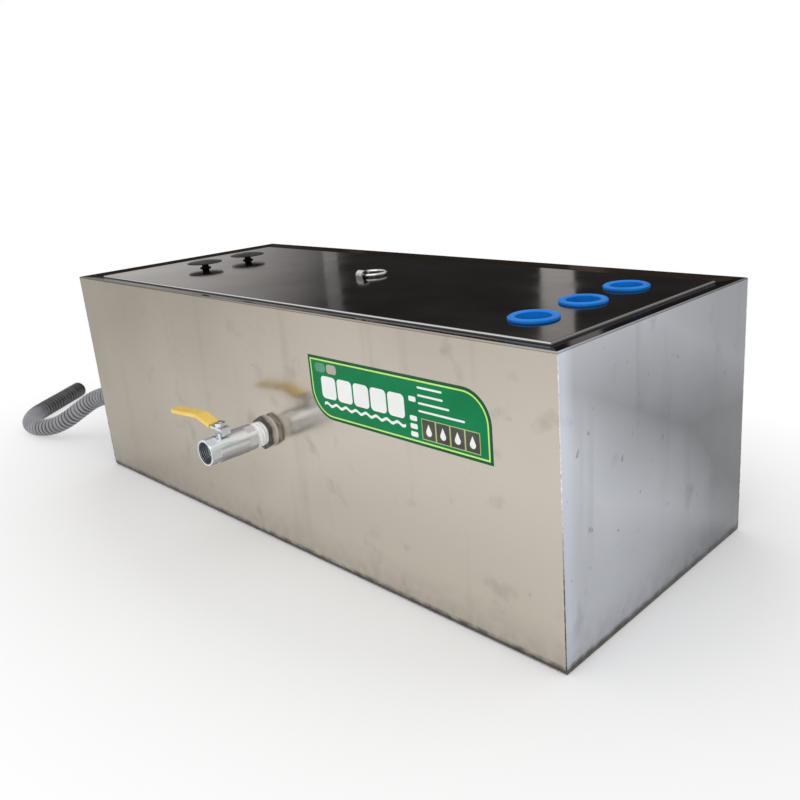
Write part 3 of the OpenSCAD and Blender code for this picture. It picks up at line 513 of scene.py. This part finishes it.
galvanised = bright_metal("galvanised", (0.50, 0.50, 0.50), (0.66, 0.66, 0.66), roughness=0.24)
pale_rubber = rubber("pale_rubber", (0.56, 0.53, 0.48), (0.70, 0.67, 0.62), roughness=0.5, grain=700)
dress(nut_finish(), "pipe_nut_outer", "pipe_nut_inner")
dress(pale_rubber, "pipe_washer_outer", "pipe_washer_inner")
dress(galvanised, "valve_nipple")


# Sealing tape: thin white tape, wound in several soft layers on the thread between nut and valve.
# The seats and the stem's packing inside the valve are of the same white plastic.
tape_low, tape_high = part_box("thread_tape")
tape_r = (tape_high.z - tape_low.z) / 2
tape_axis = (tape_low + tape_high) / 2
tape_inset = 0.0005
tape_swell = 0.0006
layer_h = 0.00025
layers = 7
fold_share = 0.012
folds = 5
fold_twist = 900


def tape_finish():
    """White plastic film with fine creases along the winding."""
    material, tree, shader = new_finish("white_tape")
    patches = spread(tree, cloud(tree, 130, 4), (0.3, 0.7))
    tone = paint_over(tree, patches, (0.93, 0.93, 0.92), (0.98, 0.98, 0.97))
    tree.links.new(tone, shader.inputs["Base Color"])
    shader.inputs["Roughness"].default_value = 0.42
    relief(tree, shader, cloud(tree, 300, 3, stretch=(1, 4, 1)), depth=0.00012)
    return material


def tape_wrap():
    """Wound tape: a band whose radius swells in layers towards its middle, with soft folds round it."""
    rows = 26
    sides = 48
    path = []
    radii = []
    for i in range(rows):
        share = i / (rows - 1)
        path.append(Vector((tape_axis.x, tape_high.y + (tape_low.y - tape_high.y) * share, tape_axis.z)))
        layer = layer_h * math.sin(share * math.pi * layers)
        swell = tape_swell * math.sin(share * math.pi)
        radii.append(tape_r - tape_inset + swell + layer)
    points, faces = tube_rings(path, radii, sides)
    for p in points:
        angle = math.atan2(p.z - tape_axis.z, p.x - tape_axis.x)
        fold = 1 + fold_share * math.sin(folds * angle + fold_twist * p.y)
        p.x = tape_axis.x + (p.x - tape_axis.x) * fold
        p.z = tape_axis.z + (p.z - tape_axis.z) * fold
    return add_mesh("sealing_tape", points, faces, white_tape, "trap")


white_tape = tape_finish()
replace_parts(tape_wrap(), "thread_tape")
dress(white_tape, "valve_seats", "stem_packing")


# Oil valve: a one-piece ball valve, cast in stainless steel and turned bright, with wrench flats
# at both ends, a drilled ball on soft seats, and a stem with its gland nut.
def turned_steel(name, dark, light, metal, roughness):
    """Smooth turned steel, faintly ringed round the valve's axis, with painted shade on its underside and a
    painted dark reflection on its top.
    """
    material, tree, shader = new_finish(name)
    rings = spread(tree, cloud(tree, 1, 2, stretch=(14, 900, 14)), (0.3, 0.7), (-0.06, 0.06))
    upward = facing(tree)["Z"]
    # Painted light and shade: lighter on faces that look up, darker below, and darkened again on the top.
    lit = spread(tree, upward, (-0.80, 0.20))
    painted_dark_top = spread(tree, upward, (0.70, 0.95), (0, 0.55))
    shade = combine(tree, "ADD", combine(tree, "SUBTRACT", lit, painted_dark_top), rings)
    tree.links.new(paint_over(tree, shade, dark, light), shader.inputs["Base Color"])
    shader.inputs["Metallic"].default_value = metal
    shader.inputs["Roughness"].default_value = roughness
    return material


valve_steel = turned_steel(
    "valve_steel", (0.28, 0.29, 0.31), (0.90, 0.94, 1.0), metal=0.72, roughness=0.19,
)
dress(valve_steel, "valve_body", "valve_insert", "gland_nut")
dress(bright_steel, "valve_ball", "valve_stem", "lever_nut")


# Inside thread of the valve's outer end: fine ridges in the bore, which a pipe screws into. Their
# crests are bright, and the grooves between them are coloured dark, painted shade.
thread = next(m for m in frame["record"]["mounts"] if m["name"] == "oil_outlet")
thread_r = thread["dims"]["r_mm"] / 1000
thread_l = thread["dims"]["length_mm"] / 1000
thread_x, thread_y, thread_z = thread["pos_m"]
thread_start = 0.0004
thread_pitch = 0.0027
thread_depth = 0.0011


def paint_row(piece, row, sides):
    """Gives one row of a tube's faces the piece's second finish."""
    for face in piece.data.polygons[row * sides:(row + 1) * sides]:
        face.material_index = 1


def thread_ridges():
    """Rings of ridges on the bore's wall, from the mouth inwards."""
    points = []
    sides = 64
    crest = thread_r - thread_depth
    first = thread_y - thread_l / 2 + thread_start
    turns = int(thread_l / thread_pitch)
    ridge = ((thread_r, 0), (crest, 0.25), (crest, 0.50), (thread_r, 0.75))
    profile = [(r, first + (i + share) * thread_pitch) for i in range(turns) for r, share in ridge]
    profile.append((thread_r, first + turns * thread_pitch))
    for r, y in profile:
        for k in range(sides):
            angle = 2 * math.pi * k / sides
            points.append((thread_x + r * math.cos(angle), y, thread_z + r * math.sin(angle)))
    faces = ring_faces(len(profile), sides)
    piece = add_mesh("outlet_thread", points, faces, groove_shade_steel, "trap", smooth_deg=20)
    piece.data.materials.append(valve_steel)
    for row in range(1, len(profile) - 1, len(ridge)):
        paint_row(piece, row, sides)


# Dark steel for the flanks and roots: painted shade in the grooves.
groove_shade_steel = turned_steel(
    "thread_root_shade", (0.10, 0.10, 0.11), (0.16, 0.16, 0.17), metal=1.0, roughness=0.35,
)
thread_ridges()


# Lever: a bent steel strip on the stem's flats, which turns the ball. Its grip is dipped in soft
# yellow vinyl.
def vinyl_finish():
    """Soft yellow vinyl, a little worn and uneven from dipping."""
    material, tree, shader = new_finish("yellow_vinyl")
    wear = spread(tree, cloud(tree, 45, 5), (0.35, 0.70))
    tone = paint_over(tree, wear, (0.95, 0.68, 0.150), (0.90, 0.59, 0.112))
    tree.links.new(tone, shader.inputs["Base Color"])
    tree.links.new(spread(tree, cloud(tree, 80, 3), (0.3, 0.7), (0.30, 0.45)), shader.inputs["Roughness"])
    shader.inputs["Specular IOR Level"].default_value = 0.4
    relief(tree, shader, cloud(tree, 260, 3), depth=0.00012)
    return material


dress(valve_steel, "valve_lever")
dress(vinyl_finish(), "lever_sleeve")


# Outlet: a turned spigot through the left wall with its nut, the bent riser pipe inside the tank,
# and the hose's smooth near cuff, held by a worm clamp.
dress(galvanised, "outlet_spigot", "outlet_nut", "outlet_riser")
dress(bright_steel, "hose_clamp", "clamp_screw")
cuff_rubber = rubber(
    "cuff_rubber", (0.020, 0.020, 0.021), (0.040, 0.040, 0.042), roughness=0.45, grain=500,
)
dress(cuff_rubber, "hose_cuff", "hose_end_cuff")


# Drain hose: corrugated grey plastic hose, moulded with round ribs. It leaves the near cuff,
# droops to the floor and lies there in a bend, with a dark smooth cuff on its free end. Its grooves
# are coloured darker than its ribs, and its last part darker still: painted shade.
hose_d = 0.034
rib_pitch = 0.0104
rib_depth = 0.0042
rib_round = 0.7
groove_below = 0.40
shaded_x = (-0.870, -0.905)
hose_route = [
    (-0.552, -0.152, 0.106), (-0.582, -0.153, 0.104), (-0.612, -0.157, 0.097), (-0.642, -0.165, 0.085),
    (-0.672, -0.178, 0.066), (-0.702, -0.192, 0.046), (-0.732, -0.205, 0.031), (-0.764, -0.216, 0.022),
    (-0.798, -0.222, 0.018), (-0.833, -0.219, 0.017), (-0.866, -0.205, 0.017), (-0.895, -0.183, 0.017),
    (-0.918, -0.155, 0.017), (-0.939, -0.127, 0.017), (-0.960, -0.099, 0.017), (-0.978, -0.075, 0.017),
]


def smooth_line(stops, per_span):
    """Points on a smooth line through all the stops."""
    stops = [Vector(s) for s in stops]
    line = []
    for i in range(len(stops) - 1):
        before = stops[max(i - 1, 0)]
        after = stops[min(i + 2, len(stops) - 1)]
        a, b = stops[i], stops[i + 1]
        for k in range(per_span):
            t = k / per_span
            line.append(0.5 * (2 * a + (b - before) * t + (2 * before - 5 * a + 4 * b - after) * t * t
                               + (3 * a - before - 3 * b + after) * t ** 3))
    line.append(stops[-1])
    return line


def hose_finish(name, dark, light, shade_tone):
    """Dull plastic with dust, darkened towards the free end by painted shade."""
    material, tree, shader = new_finish(name)
    dust = spread(tree, cloud(tree, 30, 5), (0.35, 0.7))
    darkened = spread(tree, position(tree)["X"], shaded_x)
    tone = paint_over(tree, darkened, paint_over(tree, dust, dark, light), shade_tone)
    tree.links.new(tone, shader.inputs["Base Color"])
    tree.links.new(spread(tree, dust, (0, 1), (0.34, 0.50)), shader.inputs["Roughness"])
    relief(tree, shader, cloud(tree, 500, 2), depth=0.00008)
    return material


def hose_piece():
    """The corrugated tube along the hose's route, with painted shade in its grooves."""
    line = smooth_line(hose_route, per_span=40)
    run = [0.0]
    for a, b in zip(line, line[1:]):
        run.append(run[-1] + (b - a).length)
    crowns = [abs(math.cos(math.pi * s / rib_pitch)) for s in run]
    radii = [hose_d / 2 - rib_depth * (1 - crown ** rib_round) for crown in crowns]
    sides = 40
    points, faces = tube_rings(line, radii, sides)
    ridge = hose_finish(
        "grey_hose", (0.260, 0.260, 0.279), (0.370, 0.370, 0.394), shade_tone=(0.074, 0.074, 0.079),
    )
    piece = add_mesh("corrugated_hose", points, faces, ridge, "trap", smooth_deg=60)
    # Darker finish for the grooves: painted shade.
    groove_shade = hose_finish(
        "hose_groove_shade", (0.074, 0.074, 0.080), (0.117, 0.117, 0.126), shade_tone=(0.007, 0.007, 0.007),
    )
    piece.data.materials.append(groove_shade)
    for i in range(len(line) - 1):
        if min(crowns[i], crowns[i + 1]) < groove_below:
            paint_row(piece, i, sides)
    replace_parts(piece, "drain_hose")


hose_piece()


# Front label: printed film stuck on the front wall, green with a yellow-green line, two square and
# two round corners, and plain printed blocks, bars, a wave and grey fields with drops. Its measures
# run from its lower left corner.
label_low, label_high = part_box("front_label")
label_l = label_high.x - label_low.x
label_h = label_high.z - label_low.z
label_corner = 0.038
print_t = 0.00006


def print_finish(name, dark, light):
    """Glossy printed film, a little cloudy."""
    material, tree, shader = new_finish(name)
    patches = spread(tree, cloud(tree, 26, 4), (0.3, 0.7))
    tree.links.new(paint_over(tree, patches, dark, light), shader.inputs["Base Color"])
    tree.links.new(spread(tree, cloud(tree, 50, 3), (0.3, 0.7), (0.26, 0.40)), shader.inputs["Roughness"])
    shader.inputs["Specular IOR Level"].default_value = 0.12
    return material


def leaf_outline(inset):
    """The label's outline, moved inwards: round at lower left and upper right, square elsewhere."""
    r = label_corner - inset
    steps = 14
    low = [math.pi + 0.5 * math.pi * i / steps for i in range(steps + 1)]
    high = [0.5 * math.pi * i / steps for i in range(steps + 1)]
    high_x = label_l - label_corner
    high_z = label_h - label_corner
    outline = [(label_corner + r * math.cos(a), label_corner + r * math.sin(a)) for a in low]
    outline.append((label_l - inset, inset))
    outline += [(high_x + r * math.cos(a), high_z + r * math.sin(a)) for a in high]
    outline.append((inset, label_h - inset))
    return outline


def bar_outline(left, low, width, height, r):
    """A bar with round ends or corners."""
    steps = 6
    outline = []
    for quarter, (x, y) in enumerate((
        (left + width - r, low + r), (left + width - r, low + height - r),
        (left + r, low + height - r), (left + r, low + r),
    )):
        for i in range(steps + 1):
            angle = math.pi / 2 * (quarter - 1 + i / steps)
            outline.append((x + r * math.cos(angle), y + r * math.sin(angle)))
    return outline


def drop_outline(left, low, width, height):
    """A drop: a round belly that runs up to a point."""
    r = width / 2
    steps = 24
    start_deg = 150
    turn_deg = 240
    outline = []
    for i in range(steps + 1):
        angle = math.radians(start_deg + turn_deg * i / steps)
        outline.append((left + r + r * math.cos(angle), low + r + r * math.sin(angle)))
    outline.append((left + r, low + height))
    return outline


def wave_outline(left, low, width, height, turns):
    """A wavy bar."""
    steps = 48
    crest = [(left + width * i / steps, height * 0.5 * math.sin(2 * math.pi * turns * i / steps))
             for i in range(steps + 1)]
    return ([(x, low + dy) for x, dy in crest]
            + [(x, low + height + dy) for x, dy in reversed(crest)])


def print_piece(name, outlines, lift, material, hole=None):
    """Flat shapes printed on the label, as thin closed plates; a hole has its outline's number of points."""
    points = []
    faces = []
    front = label_low.y - lift
    for outline in outlines:
        start = len(points)
        n = len(outline)
        rims = [outline] if hole is None else [outline, hole]
        for rim in rims:
            for y in (front, front + print_t):
                points += [(label_low.x + x, y, label_low.z + z) for x, z in rim]
        if hole is None:
            faces.append(tuple(range(start, start + n)))
            faces.append(tuple(reversed(range(start + n, start + 2 * n))))
        for i in range(n):
            j = (i + 1) % n
            faces.append((start + j, start + i, start + n + i, start + n + j))
            if hole is not None:
                faces.append((start + i, start + j, start + 2 * n + j, start + 2 * n + i))
                faces.append((start + n + j, start + n + i, start + 3 * n + i, start + 3 * n + j))
                faces.append((start + 2 * n + i, start + 2 * n + j, start + 3 * n + j, start + 3 * n + i))
    add_mesh(name, points, faces, material, "trap")


edge_print = print_finish("label_edge", (0.008, 0.094, 0.034), (0.011, 0.119, 0.044))
green_print = print_finish("label_green", (0.001, 0.194, 0.063), (0.002, 0.231, 0.079))
yellow_print = print_finish("label_yellow", (0.56, 0.90, 0.20), (0.64, 0.94, 0.25))
white_print = print_finish("label_white", (0.88, 0.90, 0.88), (0.94, 0.95, 0.94))
mint_print = print_finish("label_mint", (0.085, 0.30, 0.17), (0.12, 0.36, 0.22))
rose_print = print_finish("label_rose", (0.46, 0.38, 0.33), (0.54, 0.45, 0.40))
frame_print = print_finish("label_frame", (0.44, 0.51, 0.20), (0.53, 0.60, 0.27))
grey_print = print_finish("label_grey", (0.055, 0.056, 0.047), (0.104, 0.105, 0.092))

line_out = 0.0034
line_in = 0.0053
dress(edge_print, "front_label")
print_piece("label_field", [leaf_outline(line_in)], print_t, green_print)
print_piece("label_line", [leaf_outline(line_out)], print_t, yellow_print, hole=leaf_outline(line_in))

tile_left = 0.0215
tile_low = 0.0270
tile_pitch = 0.0296
tile_w = 0.0268
tile_h = 0.0285
tile_round = 0.0055
tiles = [bar_outline(tile_left + tile_pitch * i, tile_low, tile_w, tile_h, tile_round)
         for i in range(5)]
wave = wave_outline(left=0.0240, low=0.0178, width=0.1430, height=0.0036, turns=8)
bar_left = 0.189
bar_low = 0.0666
bar_pitch = 0.0090
bar_h = 0.0024
bar_round = 0.0011
bars = [bar_outline(bar_left, bar_low - bar_pitch * i, length, bar_h, bar_round)
        for i, length in enumerate((0.0370, 0.0380, 0.0465, 0.0680))]
block_left = 0.1745
block_w = 0.0112
block_h = 0.0060
block_round = 0.0018
blocks = [bar_outline(block_left, low, block_w, block_h, block_round)
          for low in (0.0500, 0.0276, 0.0182, 0.0088)]
print_piece("label_marks", [*tiles, wave, *bars, *blocks], 2 * print_t, white_print)

corner_low = 0.0596
corner_h = 0.0116
oval = bar_outline(left=0.0118, low=corner_low, width=0.0200, height=corner_h, r=corner_h / 2)
block = bar_outline(left=0.0342, low=corner_low, width=0.0180, height=corner_h, r=0.0042)
print_piece("label_oval", [oval], 2 * print_t, mint_print)
print_piece("label_block", [block], 2 * print_t, rose_print)

field_low = 0.0092
field_w = 0.0192
field_h = 0.0227
field_round = 0.0004
field_pitch = 0.0212
field_left = [0.1932 + field_pitch * i for i in range(4)]
frame_t = 0.0010
frame_low = field_low - frame_t
frame_w = field_w + 2 * frame_t
frame_h = field_h + 2 * frame_t
frame_round = 0.0006
drop_in = 0.0054
drop_low = field_low + 0.0042
drop_w = 0.0084
drop_h = 0.0142
frames = [bar_outline(x - frame_t, frame_low, frame_w, frame_h, frame_round) for x in field_left]
fields = [bar_outline(x, field_low, field_w, field_h, field_round) for x in field_left]
drops = [drop_outline(x + drop_in, drop_low, drop_w, drop_h) for x in field_left]
print_piece("label_frames", frames, 2 * print_t, frame_print)
print_piece("label_pictures", fields, 3 * print_t, grey_print)
print_piece("label_drops", drops, 4 * print_t, white_print)


# Floor: a plain pale studio floor that takes the trap's shadow, and is plain white to the eye and in
# reflections farther away, where it meets the white surround.
floor_half = 9.0
floor_z = -0.0006
white_from = (0.60, 1.15)
white_stretch = (1, 1.7, 1)


def floor_finish():
    """Pale matt floor that gives way to plain white with the distance from the part."""
    material, tree, shader = new_finish("pale_floor")
    patches = spread(tree, cloud(tree, 2, 2), (0.3, 0.7))
    tone = paint_over(tree, patches, (0.965, 0.965, 0.965), (0.985, 0.985, 0.985))
    tree.links.new(tone, shader.inputs["Base Color"])
    shader.inputs["Roughness"].default_value = 0.9
    shader.inputs["Specular IOR Level"].default_value = 0.0
    from_middle = tree.nodes.new("ShaderNodeVectorMath")
    from_middle.operation = "LENGTH"
    tree.links.new(place_on_part(tree, white_stretch), from_middle.inputs[0])
    far = spread(tree, from_middle.outputs["Value"], white_from)
    ray = tree.nodes.new("ShaderNodeLightPath").outputs
    seen_ray = combine(tree, "MAXIMUM", ray["Is Camera Ray"], ray["Is Glossy Ray"])
    seen_ray = combine(tree, "MAXIMUM", seen_ray, ray["Is Transmission Ray"])
    plain_white = tree.nodes.new("ShaderNodeEmission")
    plain_white.inputs["Strength"].default_value = 1.0
    fade = tree.nodes.new("ShaderNodeMixShader")
    tree.links.new(combine(tree, "MULTIPLY", seen_ray, far), fade.inputs["Fac"])
    tree.links.new(shader.outputs["BSDF"], fade.inputs[1])
    tree.links.new(plain_white.outputs["Emission"], fade.inputs[2])
    tree.links.new(fade.outputs["Shader"], tree.nodes["Material Output"].inputs["Surface"])
    return material


floor_mesh = bpy.data.meshes.new("floor")
floor_ways = ((-1, -1), (1, -1), (1, 1), (-1, 1))
floor_corners = [(x * floor_half, y * floor_half, floor_z) for x, y in floor_ways]
floor_mesh.from_pydata(floor_corners, [], [(0, 1, 2, 3)])
floor_mesh.materials.append(floor_finish())
floor = bpy.data.objects.new("floor", floor_mesh)
bpy.context.scene.collection.objects.link(floor)


# Light: an even white surround that reflections see darker near the horizon, most of all behind the
# trap, with a sheen at the left; a large soft box above the front, and two tall faint strips behind,
# which draw two pale streaks on the lid.
behind = (-0.7071, 0.7071, 0)
leftward = (-0.966, 0.259, 0)
horizon_z = (0.22, 0.60)
world = bpy.data.worlds.new("surround")
bpy.context.scene.world = world
world.use_nodes = True
sky = world.node_tree
seen = sky.nodes["Background"]
seen.inputs["Color"].default_value = (1.0, 1.0, 1.0, 1)
seen.inputs["Strength"].default_value = 1.0
ambient = sky.nodes.new("ShaderNodeBackground")
ambient.inputs["Color"].default_value = (1.0, 1.0, 1.0, 1)
ambient.inputs["Strength"].default_value = 0.76
mirrored = sky.nodes.new("ShaderNodeBackground")
sky_way = sky.nodes.new("ShaderNodeTexCoord").outputs["Generated"]
path_kind = sky.nodes.new("ShaderNodeLightPath")


def looks_towards(direction):
    """How far a ray looks in a direction, from -1 to 1."""
    share = sky.nodes.new("ShaderNodeVectorMath")
    share.operation = "DOT_PRODUCT"
    share.inputs[1].default_value = direction
    sky.links.new(sky_way, share.inputs[0])
    return share.outputs["Value"]


height = parts_of(sky, sky_way)["Z"]
near_horizon = spread(sky, height, horizon_z, (1, 0))
overhead = spread(sky, height, horizon_z)
room = spread(sky, looks_towards(behind), (0.30, 0.75), (0.55, 0.05))
sheen = spread(sky, looks_towards(leftward), (0.90, 0.975), (0, 1.1))
horizon = combine(sky, "MULTIPLY", combine(sky, "ADD", room, sheen), near_horizon)
sky.links.new(combine(sky, "ADD", horizon, overhead), mirrored.inputs["Strength"])


def see_instead(kind, usual, other):
    """One light for rays of a kind, another for the rest."""
    choice = sky.nodes.new("ShaderNodeMixShader")
    sky.links.new(path_kind.outputs[kind], choice.inputs["Fac"])
    sky.links.new(usual, choice.inputs[1])
    sky.links.new(other, choice.inputs[2])
    return choice.outputs["Shader"]


surround = see_instead("Is Glossy Ray", ambient.outputs["Background"], mirrored.outputs["Background"])
surround = see_instead("Is Camera Ray", surround, seen.outputs["Background"])
sky.links.new(surround, sky.nodes["World Output"].inputs["Surface"])


def soft_box(name, place, target, width, height, watts):
    """A rectangular lamp that looks at a point."""
    lamp = bpy.data.lights.new(name, "AREA")
    lamp.shape = "RECTANGLE"
    lamp.size = width
    lamp.size_y = height
    lamp.energy = watts
    holder = bpy.data.objects.new(name, lamp)
    holder.location = place
    holder.rotation_euler = (Vector(target) - Vector(place)).to_track_quat("-Z", "Y").to_euler()
    holder.visible_camera = False
    bpy.context.scene.collection.objects.link(holder)


soft_box("front_box", (1.3, -2.0, 3.0), (0.1, -0.3, 0.0), width=4.0, height=4.0, watts=40)
soft_box("strip_left", (-1.58, 1.20, 0.85), (0.0, 0.0, 0.35), width=0.055, height=1.1, watts=0.038)
soft_box("strip_right", (-0.954, 1.797, 0.85), (0.3, 0.0, 0.35), width=0.13, height=1.1, watts=0.285)


# Camera: at the photograph's viewing point, a little above the lid, off the trap's right front corner.
# Its focal length, optical centre, turn, dip and roll were solved from the tank's corners.
camera_place = Vector((0.9310, -0.7886, 0.5444))
image_px = 800
focal_px = 827.2
centre_px = (450, 385)
camera_turn = math.radians(-44.04)
camera_dip = math.radians(17.18)
camera_roll = math.radians(-3.94)
camera_data = bpy.data.cameras.new("camera")
camera_data.sensor_width = 36
camera_data.lens = focal_px / image_px * camera_data.sensor_width
camera_data.shift_x = (image_px / 2 - centre_px[0]) / image_px
camera_data.shift_y = (centre_px[1] - image_px / 2) / image_px
camera = bpy.data.objects.new("camera", camera_data)
level_right = Vector((math.cos(camera_turn), -math.sin(camera_turn), 0))
level_ahead = Vector((math.sin(camera_turn), math.cos(camera_turn), 0))
straight_up = Vector((0, 0, 1))
ahead = level_ahead * math.cos(camera_dip) - straight_up * math.sin(camera_dip)
above = straight_up * math.cos(camera_dip) + level_ahead * math.sin(camera_dip)
right = level_right * math.cos(camera_roll) + above * math.sin(camera_roll)
above = above * math.cos(camera_roll) - level_right * math.sin(camera_roll)
camera.matrix_world = Matrix((
    (right.x, above.x, -ahead.x, camera_place.x),
    (right.y, above.y, -ahead.y, camera_place.y),
    (right.z, above.z, -ahead.z, camera_place.z),
    (0, 0, 0, 1),
))
bpy.context.scene.collection.objects.link(camera)
bpy.context.scene.camera = camera
bpy.context.scene.view_settings.view_transform = "Standard"
